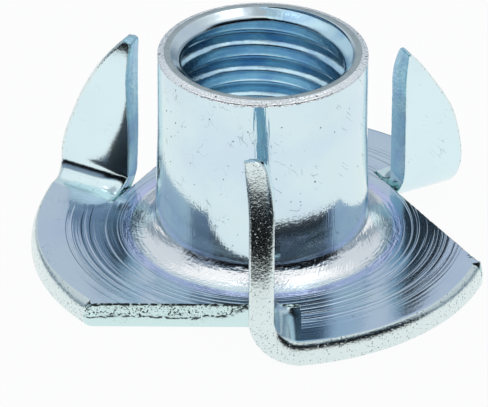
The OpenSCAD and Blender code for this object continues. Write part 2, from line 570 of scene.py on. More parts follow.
@dataclass
class SheetMetal:
    """Outer flange with its cuts, folds and prongs, as one folded sheet."""

    barrel: TurnedBarrel
    forms: tuple[ProngForm, ...]
    sizes: NutSizes = SIZES
    # inside radius of a fold: full, and sharpest at the cut; it eases from one to the other
    # over a stretch that starts a little before the cut
    fold_r: float = 1.024
    fold_sharp_r: float = 0.106
    fold_ease: float = 1.06
    fold_ease_lead: float = 0.177
    # numbers of stations and rows
    rim_rows: int = 110
    cut_rows: int = 150
    fold_rows: int = 14
    blade_rows: int = 26
    corner_r: float = 0.48
    slit_width: float = 0.02
    # distance from the axis at which the rise before a fold starts and is full, and its length
    lead_from: float = 6.15
    lead_full: float = 7.6
    lead_length: float = 1.6
    # points of the flat faces: their pitch, and the stretch with closer ones beside a fold
    grid_step: float = 0.37
    close_step: float = 0.2
    close_from: float = 6.3
    close_to: float = 9.3
    # width of the flange's rim that belongs to the edge's section, and where the strip between
    # its round and its inset is divided
    rim_width: float = 0.6
    strip_share: float = 0.45
    # how the edges are rounded: the blanked rim, then rolled down towards a cut; the cut and
    # its outer end; the sheared edge and the tip; the prong's back, at its tip and at the rim
    rim_round: Rounding = Rounding(0.265, 0.7, 0.16, 0.18)
    rolled_round: Rounding = Rounding(0.395, 0.7, 0.16, 0.18)
    cut_round: Rounding = Rounding(0.045, 0.05, 0.07, 0.09)
    cut_end_round: Rounding = Rounding(0.07, 0.16, 0.07, 0.09)
    shear_round: Rounding = Rounding(0.08, 0.09, 0.06, 0.07)
    tip_round: Rounding = Rounding(0.13, 0.19, 0.105, 0.14)
    back_round: Rounding = Rounding(0.21, 0.44, 0.14, 0.19)
    back_tip_round: Rounding = Rounding(0.13, 0.21, 0.105, 0.14)
    back_rim_round: Rounding = Rounding(0.265, 0.7, 0.16, 0.19)

    # -- folding

    def crease(self, x: np.ndarray) -> np.ndarray:
        """Finds how far from the mid plane the fold starts, on the sheet's upper face.

        The fold gets tighter towards the cut.

        Args:
            x: distances out along the prong.

        Returns:
            The distances from the mid plane.
        """
        s = self.sizes
        run = np.clip((x - s.edge + self.fold_ease_lead) / self.fold_ease, 0.0, 1.0)
        radius = self.fold_r * np.sqrt(np.clip(1 - (1 - run) ** 2, 0.0, 1.0))
        return s.sheet / 2 + np.maximum(radius, self.fold_sharp_r)

    def prong_side(self, height: np.ndarray, form: ProngForm) -> tuple[np.ndarray, np.ndarray]:
        """Finds where a prong's outer and inner faces stand at a height.

        Args:
            height: heights above the resting face.
            form: the prong.

        Returns:
            Distances from the prong's mid plane, outer face first.
        """
        s = self.sizes
        # the rolled-off tip, the bend that the prong took, its lean, and its rounded point
        rise = np.clip(height - s.roll_from, 0.0, s.roll_r)
        roll = (s.roll_r - np.sqrt(s.roll_r**2 - rise**2)) * form.thin
        over = smooth(s.roll_from - 0.2, s.prong_height + 0.35, height) ** 1.2
        slope = form.slope * np.maximum(height - s.bend_outer_r, 0.0)
        top = self.tip_centre(form)[1] + s.tip_r
        near = np.clip((height - top + form.point) / max(form.point, 1e-6), 0.0, 0.99)
        close = form.point * (1 - np.sqrt(1 - near**2)) * (form.point > 0)
        return (
            -s.sheet / 2 + form.lean[0] * over - slope,
            s.sheet / 2 - roll + form.lean[1] * over - slope - close,
        )

    def wander(self, x: np.ndarray, height: np.ndarray, form: ProngForm) -> tuple[np.ndarray, np.ndarray]:
        """Finds how far a standing prong departs from its drawing.

        Args:
            x: distance out along the prong.
            height: height above the resting face.
            form: the prong.

        Returns:
            The move along the prong, and the depth of the dip beside its sheared edge.
        """
        s = self.sizes
        lift = form.height * smooth(s.bend_outer_r, s.prong_height, height)
        back = np.sqrt(np.maximum(s.arc_r**2 - (height - lift - s.arc_z) ** 2, 0.0))
        across = np.clip((x - s.edge) / np.maximum(back - s.edge, 0.4), 0.0, 1.0)
        # the sheared edge moves in above the fold, the back swells there and is drawn in higher up
        edge = -form.edge_in * smooth(0.4, 2.0, height) * (1 - 0.5 * smooth(3.0, 7.0, height))
        foot = form.foot_out * smooth(0.4, 1.6, height) * smooth(4.6, 2.2, height)
        rear = -form.back_in * smooth(4.2, 6.6, height) * smooth(9.3, 7.8, height)
        # the dip beside the sheared edge is wide at its foot and runs to a point
        width = 0.1 + 0.7 * smooth(6.6, 2.6, height)
        beside = np.clip(1 - (x - s.edge) / width, 0.0, 1.0)
        dip = form.dish * width * beside**1.35 * smooth(0.9, 1.7, height)
        return edge * (1 - across) + (foot + rear) * across, dip

    def fold(self, x: np.ndarray, y: np.ndarray, depth: np.ndarray, form: ProngForm) -> np.ndarray:
        """Folds points of the blank, given in a prong's own frame, to their place.

        Args:
            x: distance out along the prong.
            y: distance across it; the fold starts at bend_start and runs to smaller y.
            depth: share of the sheet's thickness, 0 at the underside, 1 at the upper face.
            form: the prong.

        Returns:
            Places in the prong's frame.
        """
        s = self.sizes
        x, y, depth = (np.asarray(v, float) for v in (x, y, depth))
        run = s.bend_start - y
        # the underside turns about one centre
        share = np.clip(run / s.bend_length, 0.0, 1.0)
        past = np.maximum(run - s.bend_length, 0.0)
        turned = share * math.pi / 2
        low_n = s.bend_start - s.bend_outer_r * np.sin(turned)
        low_z = s.bend_outer_r * (1 - np.cos(turned))
        # the upper face goes on flat, turns about a tighter one, and goes straight up
        start = self.crease(x)
        radius = start - s.sheet / 2
        flat = s.bend_start - start
        arc = radius * math.pi / 2
        tail = s.bend_outer_r - s.sheet - radius
        done = share * (flat + arc + tail)
        bend = np.clip((done - flat) / np.maximum(arc, 1e-6), 0.0, 1.0) * math.pi / 2
        high_n = s.bend_start - np.minimum(done, flat) - radius * np.sin(bend)
        high_z = s.sheet + radius * (1 - np.cos(bend)) + np.maximum(done - flat - arc, 0.0)
        # the blade
        outer, inner = self.prong_side(s.bend_outer_r + past, form)
        low_n = low_n + (outer + s.sheet / 2) * (past > 0)
        high_n = high_n + (inner - s.sheet / 2) * (past > 0)
        move, dip = self.wander(x, s.bend_outer_r * share + past, form)
        n = low_n + (high_n - dip - low_n) * depth - np.minimum(run, 0.0)
        z = low_z + (high_z - low_z) * depth + past + self.lead(x, y, form)
        return np.stack([x + move, n, z], axis=-1)

    def lead(self, x: np.ndarray, y: np.ndarray, form: ProngForm) -> np.ndarray:
        """Finds how far the sheet is lifted where it leads into a prong's fold.

        Args:
            x: distances out along the prong.
            y: distances across it.
            form: the prong.

        Returns:
            The rises.
        """
        s = self.sizes
        before = np.clip(1 - (y - s.bend_start) / self.lead_length, 0.0, 1.0) ** 2
        after = smooth(s.bend_length * 0.9, 0.0, s.bend_start - y)
        rise = np.where(y > s.bend_start, before, after)
        return form.lead * rise * smooth(self.lead_from, self.lead_full, x)

    def lift(self, place: np.ndarray) -> np.ndarray:
        """Finds how far the flat part of the sheet is lifted.

        Args:
            place: places on the flange, x and y in rows.

        Returns:
            The rise of each.
        """
        total = np.zeros(place.shape[0])
        for form in self.forms:
            local = turn(place, -form.angle)
            flat = local[:, 1] > self.sizes.bend_start - 1e-6
            total += np.where(flat, self.lead(local[:, 0], local[:, 1], form), 0.0)
        return total

    def blank_y(self, height: float) -> float:
        """Returns the place across the blank of a height on the standing prong."""
        s = self.sizes
        return s.bend_start - s.bend_length - (height - s.bend_outer_r)

    def tip_centre(self, form: ProngForm) -> tuple[float, float]:
        """Finds the centre of a tip's round.

        Args:
            form: the prong.

        Returns:
            Its distance out and its height.
        """
        s = self.sizes
        x = s.edge + s.tip_r
        z = s.arc_z + math.sqrt((s.arc_r - s.tip_r) ** 2 - x * x)
        return x, z + form.height

    def row_heights(self, form: ProngForm) -> list[float]:
        """Spaces the rows that run across a standing prong.

        Args:
            form: the prong.

        Returns:
            Their heights.
        """
        low = self.sizes.bend_outer_r
        high = self.tip_centre(form)[1]
        return [low + (high - low) * i / self.blade_rows for i in range(1, self.blade_rows + 1)]

    def back_lift(self, height: float, form: ProngForm) -> float:
        """Returns how far a prong's curved back is lifted at a height."""
        s = self.sizes
        return form.height * float(smooth(s.bend_outer_r, s.prong_height, height))

    def back_x(self, height: float, form: ProngForm) -> float:
        """Finds how far out the curved back is.

        Args:
            height: height above the resting face.
            form: the prong.

        Returns:
            The distance from the axis.
        """
        s = self.sizes
        z = height - self.back_lift(height, form)
        return math.sqrt(s.arc_r**2 - (z - s.arc_z) ** 2)

    # -- outline

    def rim_stations(self) -> tuple[list[Station], tuple[float, float]]:
        """Walks the rim up to the cut, and round its corner there.

        Returns:
            The stations, and where the corner's round is centred.
        """
        s = self.sizes
        out: list[Station] = []
        pitch = 2 * math.pi / s.prong_count
        start = math.atan2(s.bend_start, s.reach) - pitch
        centre_x = s.cut - self.corner_r
        centre_y = -math.sqrt((s.flange_r - self.corner_r) ** 2 - centre_x**2)
        end = math.atan2(centre_y, centre_x)
        fold_way = (-math.cos(pitch), math.sin(pitch))
        for i in range(1, self.rim_rows + 1):
            angle = start + (end - start) * i / self.rim_rows
            near_fold = float(smooth(0.3, 0.0, angle - start))
            way = [-math.cos(angle), -math.sin(angle)]
            way = [way[k] + (fold_way[k] - way[k]) * near_fold for k in range(2)]
            to_corner = (end - angle) * s.flange_r
            inset = 0.55 - 0.08 * float(smooth(1.1, 0.0, to_corner))
            rounding = self.rim_round.toward(self.rolled_round, float(smooth(4.8, 0.2, to_corner)))
            place = (s.flange_r * math.cos(angle), s.flange_r * math.sin(angle))
            out.append(Station(Edge.RIM, place, (way[0], way[1]), inset, -to_corner, rounding))
        for i in range(1, 9):
            angle = end * (1 - i / 8)
            share = i / 8
            round_x, round_y = self.corner_r * math.cos(angle), self.corner_r * math.sin(angle)
            place = (centre_x + round_x, centre_y + round_y)
            rounding = Rounding(
                0.4 - 0.33 * share**1.5, 0.7 - 0.54 * share, 0.16 - 0.09 * share, 0.18 - 0.09 * share
            )
            inward = (-math.cos(angle), -math.sin(angle))
            out.append(Station(Edge.CORNER, place, inward, 0.47, share, rounding))
        return out, (centre_x, centre_y)

    def cut_stations(self, corner_y: float) -> list[Station]:
        """Walks the straight cut from the corner in to the slit beside the prong, and round its end.

        Args:
            corner_y: where the corner's round is centred, across the prong.

        Returns:
            The stations.
        """
        s = self.sizes
        out: list[Station] = []
        for i in range(1, self.cut_rows):
            y = corner_y + (s.bend_start - corner_y) * i / self.cut_rows
            near = float(smooth(1.1, 0.0, y - corner_y))
            rounding = self.cut_round.toward(self.cut_end_round, near)
            inset = 0.3 + 0.17 * near
            out.append(Station(Edge.CHORD, (s.cut, y), (-1.0, 0.0), inset, y - corner_y, rounding))
        half = self.slit_width / 2
        for i in range(7):
            angle = math.pi * (1 - i / 6)
            place = (s.cut + half + half * math.cos(angle), s.bend_start + half * math.sin(angle))
            inward = (math.cos(angle), math.sin(angle))
            out.append(Station(Edge.SLIT, place, inward, 0.3, i / 6, self.cut_round))
        return out

    def shear_stations(self, form: ProngForm) -> list[Station]:
        """Walks a prong's sheared edge, from the slit up to the tip, and round the tip.

        Args:
            form: the prong.

        Returns:
            The stations.
        """
        s = self.sizes
        rows = self.fold_rows
        ys = [s.bend_start - s.bend_length * i / rows for i in range(1, rows + 1)]
        previous = s.bend_outer_r
        for height in self.row_heights(form):
            ys += [self.blank_y(previous + (height - previous) * k / 3) for k in (1, 2, 3)]
            previous = height
        tip_x, tip_z = self.tip_centre(form)
        out: list[Station] = []
        for y in ys:
            near_tip = float(smooth(self.blank_y(tip_z - 1.8), self.blank_y(tip_z), y))
            # the slit beside the fold is shut while both its sides lie flat
            shut = (s.cut_gap - self.slit_width) * float(smooth(1.5, 0.6, s.bend_start - y))
            place, inset = (s.edge - shut, y), 0.3 - 0.12 * near_tip
            out.append(Station(Edge.SHEAR, place, (1.0, 0.0), inset, s.bend_start - y, self.shear_round))
        back_angle = math.atan2(tip_z - form.height - s.arc_z, tip_x)
        for i in range(1, 10):
            share = i / 10
            angle = math.pi + (back_angle - math.pi) * share
            place = (tip_x + s.tip_r * math.cos(angle), self.blank_y(tip_z + s.tip_r * math.sin(angle)))
            inward = (-math.cos(angle), math.sin(angle))
            rounding = self.shear_round.toward(self.tip_round, share)
            out.append(Station(Edge.TIP, place, inward, 0.18, share, rounding))
        return out

    def back_stations(self, form: ProngForm) -> list[Station]:
        """Walks a prong's curved back, from the tip down to the flange's rim.

        Args:
            form: the prong.

        Returns:
            The stations.
        """
        s = self.sizes
        tip_x, tip_z = self.tip_centre(form)
        high = tip_z + s.tip_r * math.sin(math.atan2(tip_z - form.height - s.arc_z, tip_x))
        levels = [high] + [h for h in reversed(self.row_heights(form)) if h < tip_z - 1e-6]
        levels.append(s.bend_outer_r)
        heights = [high]
        for upper, lower in zip(levels, levels[1:]):
            heights += [upper + (lower - upper) * k / 3 for k in (1, 2, 3)]
        out: list[Station] = []
        for z in heights:
            x = self.back_x(z, form)
            near_tip = float(smooth(tip_z - 2.0, tip_z, z))
            way = Vector((x, z - s.arc_z - self.back_lift(z, form))).normalized()
            inset = 0.44 - 0.26 * near_tip
            rounding = self.back_round.toward(self.back_tip_round, near_tip)
            out.append(Station(Edge.BACK, (x, self.blank_y(z)), (-way.x, way.y), inset, z, rounding))
        for i in range(self.fold_rows - 1, -1, -1):
            share = i / self.fold_rows
            x = s.reach - s.rim_draw * math.sin(math.pi * share)
            place = (x, s.bend_start - s.bend_length * share)
            inset = 0.44 + 0.11 * (1 - share)
            rounding = self.back_rim_round.toward(self.back_round, share)
            out.append(Station(Edge.FOLD, place, (-1.0, 0.0), inset, share, rounding))
        return out

    # -- edge profile

    def wall(self, station: Station, form: ProngForm) -> np.ndarray:
        """Draws the cross-section of the sheet's edge at a station.

        Args:
            station: the place on the outline.
            form: the prong that the place belongs to.

        Returns:
            Rows of depth inward and height within the sheet, from the upper face down.
        """
        sheet = self.sizes.sheet
        run, drop = station.rounding.top_run, station.rounding.top_drop
        # in turn: the upper face's last strip, its round, the wall, the lower round, the underside
        rows: list[tuple[float, float]] = [(station.inset, sheet)]
        rows.append((run + self.strip_share * (station.inset - run), sheet))
        for i in range(7):
            angle = math.pi / 2 * (1 - i / 6)
            rows.append((run * (1 - math.cos(angle)), sheet - drop * (1 - math.sin(angle))))
        low_run, low = station.rounding.low_run, station.rounding.low_drop
        for i in range(1, 7):
            rows.append((0.0, sheet - drop + (low - sheet + drop) * i / 7))
        for i in range(4):
            angle = math.pi / 2 * i / 3
            rows.append((low_run * (1 - math.cos(angle)), low * (1 - math.sin(angle))))
        rows.append((low_run + self.strip_share * (station.inset - low_run), 0.0))
        rows.append((station.inset, 0.0))
        section = np.array(rows)
        self.roughen(section, station, form)
        return section

    def roughen(self, section: np.ndarray, station: Station, form: ProngForm) -> None:
        """Adds what the tools left on an edge: the torn band of a cut and a blanked rim's grain.

        Args:
            section: the edge's cross-section, changed in place.
            station: the place on the outline.
            form: the prong that the place belongs to.
        """
        sheet = self.sizes.sheet
        x, y = station.outer
        wall = slice(2, len(section) - 2)
        z = section[wall, 1]
        seed = form.seed
        if station.edge in (Edge.CHORD, Edge.CORNER):
            from_corner = station.along if station.edge is Edge.CHORD else -0.18
            share = float(smooth(-0.25, 0.45, from_corner))
            # above a wavy line, which rises out of the sheet towards the fold, the metal tore
            line = 0.46 + 0.06 * ripple(y, seed, 0.0, 0.62) + 0.045 * ripple(y, seed, 3.0, 0.2)
            line += 0.45 * float(smooth(5.5, 6.7, from_corner))
            torn = smooth(line - 0.025, line + 0.045, z)
            lean = 0.09 * np.clip((z - line) / (sheet - line), 0.0, 1.0)
            chips = np.array(
                [ripple(y, v * 1.6, seed, 0.26) + 0.6 * ripple(y, v, seed + 5, 0.12) for v in z]
            )
            section[wall, 0] += share * torn * (0.018 + lean + 0.032 * np.abs(chips))
            # jagged burrs stand on the upper edge at the cut's two ends
            burr = form.corner_burr * float(smooth(0.9, 0.1, from_corner))
            burr += form.fold_burr * float(smooth(2.4, 1.4, self.sizes.bend_start - y))
            jag = max(0.35 + ripple(y, seed, 21.0, 0.11) + 0.6 * ripple(y, seed, 23.0, 0.3), 0.0)
            section[1:6, 1] += burr * jag * np.array([0.35, 0.8, 1.0, 0.8, 0.4])
        elif station.edge in (Edge.SHEAR, Edge.TIP):
            # the mating edge tore below its line, and has a thin burr at the top
            share = float(smooth(0.0, 0.5, station.along)) if station.edge is Edge.SHEAR else 1.0
            line = 0.44 + 0.09 * ripple(y, seed, 9.0, 0.8)
            torn = smooth(line + 0.045, line - 0.045, z)
            chips = np.array([ripple(y, v * 1.6, seed + 2, 0.35) for v in z])
            section[wall, 0] += share * torn * (0.01 + 0.045 * (1 - z / sheet) + 0.018 * np.abs(chips))
            burr = max(0.018 * ripple(y, seed, 13.0, 0.3), 0.0)
            section[wall, 0] += share * burr * (z > sheet - 0.18)
        elif station.edge in (Edge.RIM, Edge.BACK, Edge.FOLD):
            grain = np.array([ripple(x, y, v, 0.14) for v in z])
            wave = np.array([ripple(x, y, v + seed, 0.8) for v in z])
            section[wall, 0] += np.maximum(0.005 + 0.0025 * grain + 0.006 * wave, 0.0)

    # -- mesh

    def finish_of(self, station: Station, column: int, columns: int) -> Finish:
        """Chooses the finish of one strip of the edge.

        Args:
            station: the place on the outline.
            column: number of the strip, from the upper face down.
            columns: number of points across the edge.

        Returns:
            The finish.
        """
        edge = station.edge
        if column < 2 or column >= columns - 3:
            return Finish.PRONG if edge in STANDING and edge is not Edge.SLIT else Finish.FLANGE
        if edge in (Edge.RIM, Edge.BACK, Edge.FOLD):
            return Finish.RIM
        if edge is Edge.SHEAR and station.along < 0.8 * self.sizes.bend_length:
            # the fold draws the root of the sheared edge out until it shines
            return Finish.PRONG
        return Finish.SHEAR if edge in (Edge.SHEAR, Edge.TIP) else Finish.CUT

    def add_to(self, store: MeshStore) -> None:
        """Adds the folded sheet to a mesh.

        Args:
            store: the mesh.
        """
        loop: list[tuple[Station, int]] = []
        for index, form in enumerate(self.forms):
            rim, corner = self.rim_stations()
            stations = rim + self.cut_stations(corner[1])
            stations += self.shear_stations(form) + self.back_stations(form)
            loop += [(station, index) for station in stations]
        sections = []
        for station, index in loop:
            form = self.forms[index]
            section = self.wall(station, form)
            x = station.outer[0] + station.inward[0] * section[:, 0]
            y = station.outer[1] + station.inward[1] * section[:, 0]
            if station.edge in STANDING:
                placed = self.fold(x, y, section[:, 1] / self.sizes.sheet, form)
            else:
                placed = np.stack([x, y, section[:, 1]], axis=-1)
            placed = turn(placed, form.angle)
            if station.edge not in STANDING:
                placed[:, 2] += self.lift(placed[:, :2])
            sections.append(placed)
        columns = sections[0].shape[0]
        store.add_grid(
            np.array(sections), lambda row, column: self.finish_of(loop[row][0], column, columns)
        )
        LOG.info("folded sheet's edge: %d stations of %d points", len(loop), columns)
        self.add_faces(store, loop)

    def add_faces(self, store: MeshStore, loop: list[tuple[Station, int]]) -> None:
        """Fills the sheet's upper face and underside between its edge's section and the barrel.

        Args:
            store: the mesh.
            loop: the outline's stations with the number of their prong.
        """
        s = self.sizes
        chart: list[tuple[float, float]] = []
        for station, index in loop:
            place = np.array(station.outer) + np.array(station.inward) * station.inset
            chart.append(tuple(turn(place, self.forms[index].angle)))
        outline = np.array(chart)
        ring = self.barrel.columns
        first_ring = len(chart)
        for i in range(ring):
            angle = 2 * math.pi * i / ring
            inner = self.barrel.sheet_from
            chart.append((inner * math.cos(angle), inner * math.sin(angle)))
        # the outline, the barrel's ring and the rows across each prong stay edges of the mesh
        edges = [(i, (i + 1) % len(outline)) for i in range(len(outline))]
        edges += [(first_ring + i, first_ring + (i + 1) % ring) for i in range(ring)]
        edges += self.add_rows(chart, loop)
        self.scatter(chart, outline)
        result = geometry.delaunay_2d_cdt([Vector(p) for p in chart], edges, [], 0, 1e-7)
        places, triangles = result[0], result[2]
        upper = np.empty((len(places), 3))
        under = np.empty((len(places), 3))
        # each point goes from the flat blank to its place on the folded sheet
        for i, place in enumerate(places):
            spot = np.array([place.x, place.y])
            prong = self.prong_at(spot)
            if prong is None:
                rise = float(self.lift(spot[None, :])[0])
                upper[i] = (spot[0], spot[1], s.sheet + rise)
                under[i] = (spot[0], spot[1], rise)
                continue
            form = self.forms[prong]
            local = turn(spot, -form.angle)
            upper[i] = turn(self.fold(local[0], local[1], 1.0, form), form.angle)
            under[i] = turn(self.fold(local[0], local[1], 0.0, form), form.angle)
        top = store.add_points(upper)
        low = store.add_points(under)
        kept = 0
        for triangle in triangles:
            middle = np.mean([(places[i].x, places[i].y) for i in triangle], axis=0)
            if np.hypot(*middle) < self.barrel.sheet_from or not self.inside(outline, middle):
                continue
            finish = Finish.FLANGE if self.prong_at(middle) is None else Finish.PRONG
            store.add_face(tuple(top + i for i in triangle), finish)
            store.add_face(tuple(low + i for i in reversed(triangle)), finish)
            kept += 1
        LOG.info("folded sheet's faces: %d triangles on each side", kept)

    def scatter(self, chart: list[tuple[float, float]], outline: np.ndarray) -> None:
        """Adds points between the flange's edge and the barrel, and closer ones beside each fold.

        Args:
            chart: points of the blank so far, added to in place.
            outline: the inner side of the edge's section, in rows.
        """
        step = self.grid_step
        widest = self.sizes.flange_r - self.rim_width
        for row, radius in enumerate(np.arange(self.barrel.sheet_from + step, widest, step)):
            number = int(2 * math.pi * radius / step)
            for i in range(number):
                angle = 2 * math.pi * (i + 0.5 * (row % 2)) / number
                place = np.array([radius * math.cos(angle), radius * math.sin(angle)])
                close = np.min(np.sum((outline - place) ** 2, axis=1)) < 0.26**2
                if self.prong_at(place) is None and not close and not self.in_lead(place, 0.1):
                    chart.append((float(place[0]), float(place[1])))
        for form in self.forms:
            for across in np.linspace(0.06, 1.0, 14) ** 1.2 * self.lead_length:
                for x in np.arange(self.close_from, self.close_to, self.close_step):
                    place = turn(np.array([x, self.sizes.bend_start + across]), form.angle)
                    close = np.min(np.sum((outline - place) ** 2, axis=1)) < 0.12**2
                    if np.hypot(*place) < widest and not close:
                        chart.append((float(place[0]), float(place[1])))

    def add_rows(
        self, chart: list[tuple[float, float]], loop: list[tuple[Station, int]]
    ) -> list[tuple[int, int]]:
        """Adds rows of points across each fold and prong, from edge to edge.

        Args:
            chart: points of the blank so far, added to in place.
            loop: the outline's stations with the number of their prong.

        Returns:
            Edges that keep the rows in the triangulation.
        """
        edges: list[tuple[int, int]] = []
        for index, form in enumerate(self.forms):
            ends: dict[Edge, dict[float, int]] = {Edge.SHEAR: {}, Edge.BACK: {}}
            for number, (station, owner) in enumerate(loop):
                side = Edge.BACK if station.edge is Edge.FOLD else station.edge
                if owner == index and side in ends:
                    ends[side][round(station.outer[1], 5)] = number
            for key in sorted(set(ends[Edge.SHEAR]) & set(ends[Edge.BACK])):
                first, final = ends[Edge.SHEAR][key], ends[Edge.BACK][key]
                start = turn(np.array(chart[first]), -form.angle)
                end = turn(np.array(chart[final]), -form.angle)
                if end[0] - start[0] < 0.09:
                    continue
                last = first
                number = max(1, int((end[0] - start[0]) / 0.31))
                for i in range(1, number):
                    place = turn(start + (end - start) * i / number, form.angle)
                    chart.append((float(place[0]), float(place[1])))
                    edges.append((last, len(chart) - 1))
                    last = len(chart) - 1
                edges.append((last, final))
        return edges

    def in_lead(self, place: np.ndarray, margin: float) -> bool:
        """Tells whether a place of the flat sheet lies where it rises into a fold.

        Args:
            place: x and y on the flange.
            margin: how much wider the stretch is taken.

        Returns:
            Whether it does.
        """
        for form in self.forms:
            local = turn(place, -form.angle)
            ahead = local[1] - self.sizes.bend_start
            if local[0] > self.close_from - margin and -1e-6 < ahead < self.lead_length + margin:
                return True
        return False

    def prong_at(self, place: np.ndarray) -> int | None:
        """Finds the prong that a place of the blank belongs to.

        Args:
            place: x and y on the blank.

        Returns:
            The prong's number, or None in the flange.
        """
        s = self.sizes
        for index, form in enumerate(self.forms):
            local = turn(place, -form.angle)
            if local[0] > s.cut + s.cut_gap / 2 and -9.0 < local[1] < s.bend_start - 1e-9:
                return index
        return None

    def inside(self, outline: np.ndarray, place: np.ndarray) -> bool:
        """Tells whether a place lies inside an outline, by the outline's crossings beside it.

        Args:
            outline: its corners in rows.
            place: x and y.

        Returns:
            Whether it does.
        """
        ax, ay = outline[:, 0], outline[:, 1]
        bx, by = np.roll(ax, -1), np.roll(ay, -1)
        x, y = place
        crosses = (ay > y) != (by > y)
        where = ax + (y - ay) / np.where(crosses, by - ay, 1.0) * (bx - ax)
        return bool(np.count_nonzero(crosses & (where > x)) % 2)


# ---------------------------------------------------------------- the nut


@dataclass
class TeeNut:
    """The whole nut as one welded piece."""

    # edges sharper than this stay sharp
    sharp_angle: float = math.radians(24)
    # the prongs as made: one rounded off at its tip, one hooked there, one leaning
    forms: tuple[ProngForm, ...] = (
        ProngForm(
            math.radians(-90), lean=(-0.265, -0.093), thin=0.85, height=0.14, point=0.5,
            seed=3.1,
        ),
        ProngForm(
            math.radians(30), lean=(-0.34, -0.45), height=-0.16, back_in=0.2, corner_burr=0.09,
            fold_burr=0.05, seed=7.7,
        ),
        ProngForm(
            math.radians(150), slope=0.061, height=-0.06, edge_in=0.24, foot_out=0.15, dish=0.3,
            lead=0.12, fold_burr=0.11, seed=12.9,
        ),
    )

    def build(self) -> bpy.types.Object:
        """Makes the piece: barrel and sheet in one skin, the thread cut out of it.

        Returns:
            The piece, with a material slot for each finish.
        """
        store = MeshStore()
        barrel = TurnedBarrel()
        barrel.add_to(store)
        SheetMetal(barrel, self.forms).add_to(store)
        piece = store.build("tee_nut_body")
        tool = ThreadTool().build()
        for finish in FINISH_ORDER:
            material = bpy.data.materials.new(finish.value)
            piece.data.materials.append(material)
            tool.data.materials.append(material)
        self.report(piece, "before tapping")
        cut = piece.modifiers.new("tap", "BOOLEAN")
        cut.operation = "DIFFERENCE"
        cut.solver = "MANIFOLD"
        cut.object = tool
        graph = bpy.context.evaluated_depsgraph_get()
        mesh = bpy.data.meshes.new_from_object(piece.evaluated_get(graph))
        piece.modifiers.clear()
        piece.data = mesh
        bpy.data.objects.remove(tool)
        self.report(piece, "after tapping")
        for polygon in mesh.polygons:
            polygon.use_smooth = True
        mesh.set_sharp_from_angle(angle=self.sharp_angle)
        return piece

    def report(self, piece: bpy.types.Object, when: str) -> None:
        """Logs the size of a piece's mesh and any open edge.

        Args:
            piece: the piece.
            when: the step of the build.
        """
        work = bmesh.new()
        work.from_mesh(piece.data)
        open_edges = sum(1 for e in work.edges if len(e.link_faces) != 2)
        triangles = sum(len(f.verts) - 2 for f in work.faces)
        volume = work.calc_volume() / MM**3
        found = (piece.name, when, triangles, open_edges, volume)
        LOG.info("%s %s: %d triangles, %d open edges, %.1f mm3", *found)
        work.free()


# ---------------------------------------------------------------- finishes


def linear(code: str) -> tuple[float, float, float, float]:
    """Turns an sRGB hex colour into linear light.

    Args:
        code: six hex digits after a #.

    Returns:
        Red, green, blue and alpha.
    """
    values = [int(code[i : i + 2], 16) / 255 for i in (1, 3, 5)]
    out = [v / 12.92 if v <= 0.04045 else ((v + 0.055) / 1.055) ** 2.4 for v in values]
    return (out[0], out[1], out[2], 1.0)


MATH, VECTOR, RANGE, MIX = "ShaderNodeMath", "ShaderNodeVectorMath", "ShaderNodeMapRange", "ShaderNodeMix"
PLUS, MINUS, TIMES = {"operation": "ADD"}, {"operation": "SUBTRACT"}, {"operation": "MULTIPLY"}
SIZE_ONLY, GREATER, SCALED = {"operation": "ABSOLUTE"}, {"operation": "MAXIMUM"}, {"operation": "SCALE"}
SOFT, COLOURS = {"interpolation_type": "SMOOTHSTEP"}, {"data_type": "RGBA"}


def add_node(
    tree: bpy.types.NodeTree, kind: str, settings: dict[str, object], inputs: dict[str | int, object]
) -> bpy.types.Node:
    """Adds a node with its settings and links.

    Args:
        tree: node tree that gets it.
        kind: the node's type.
        settings: its properties by name.
        inputs: a value, a socket or a node (its first output) for each input, by name or number.

    Returns:
        The node.
    """
    node = tree.nodes.new(kind)
    for name, value in settings.items():
        setattr(node, name, value)
    for key, value in inputs.items():
        source = value.outputs[0] if isinstance(value, bpy.types.Node) else value
        if isinstance(source, bpy.types.NodeSocket):
            tree.links.new(source, node.inputs[key])
        else:
            node.inputs[key].default_value = source
    return node


class Lay(Enum):
    """Ways in which a pattern can lie on the nut."""

    ALL_OVER = "all_over"
    ROUND = "round"
    UPRIGHT = "upright"
    SLANTED = "slanted"


@dataclass(frozen=True)
class Grain:
    """One layer of fine relief, in millimetres.

    The pattern repeats about every `fine` across and every `coarse` along its lay, and its
    highest point stands `height` above its lowest. Each of fades gives the distances from the
    axis at which it is full and gone. only keeps no more than the peaks above that share.
    """

    lay: Lay
    fine: float
    coarse: float
    height: float
    detail: float = 1.0
    fades: tuple[tuple[float, float], ...] = ()
    only: float = 0.0


@dataclass(frozen=True)
class Stain:
    """A second colour that comes up in soft patches of a size in millimetres."""

    tone: str
    size: float
    share: float


@dataclass(frozen=True)
class Ring:
    """A second colour that comes up between two distances from the axis, in millimetres."""

    tone: str
    start: float
    end: float
    share: float = 1.0


@dataclass(frozen=True)
class Marks:
    """Fine marks: pits a size apart, and scratches as long as a length, a gap apart.

    depth is how deep they are, in millimetres.
    """

    tone: str = "#3f5560"
    pit_gap: float = 0.3
    pit_share: float = 0.2
    scratch_gap: float = 0.35
    scratch_length: float = 3.0
    scratch_share: float = 0.5
    depth: float = 0.0


@dataclass(frozen=True)
class TornBand:
    """The torn upper band of a cut: chips, a ragged dark line where the clean cut ends, and a painted
    shadow under the sheet's upper edge.

    line is the height of that line above the resting face, in millimetres. The band runs out
    between the angles fade_from and fade_to, counted from the fold, by lifting its line.
    """

    line: float = 0.47
    tone: str = "#0d1417"
    fade_from: float = math.radians(-14)
    fade_to: float = math.radians(-6)
    fade_rise: float = 0.6


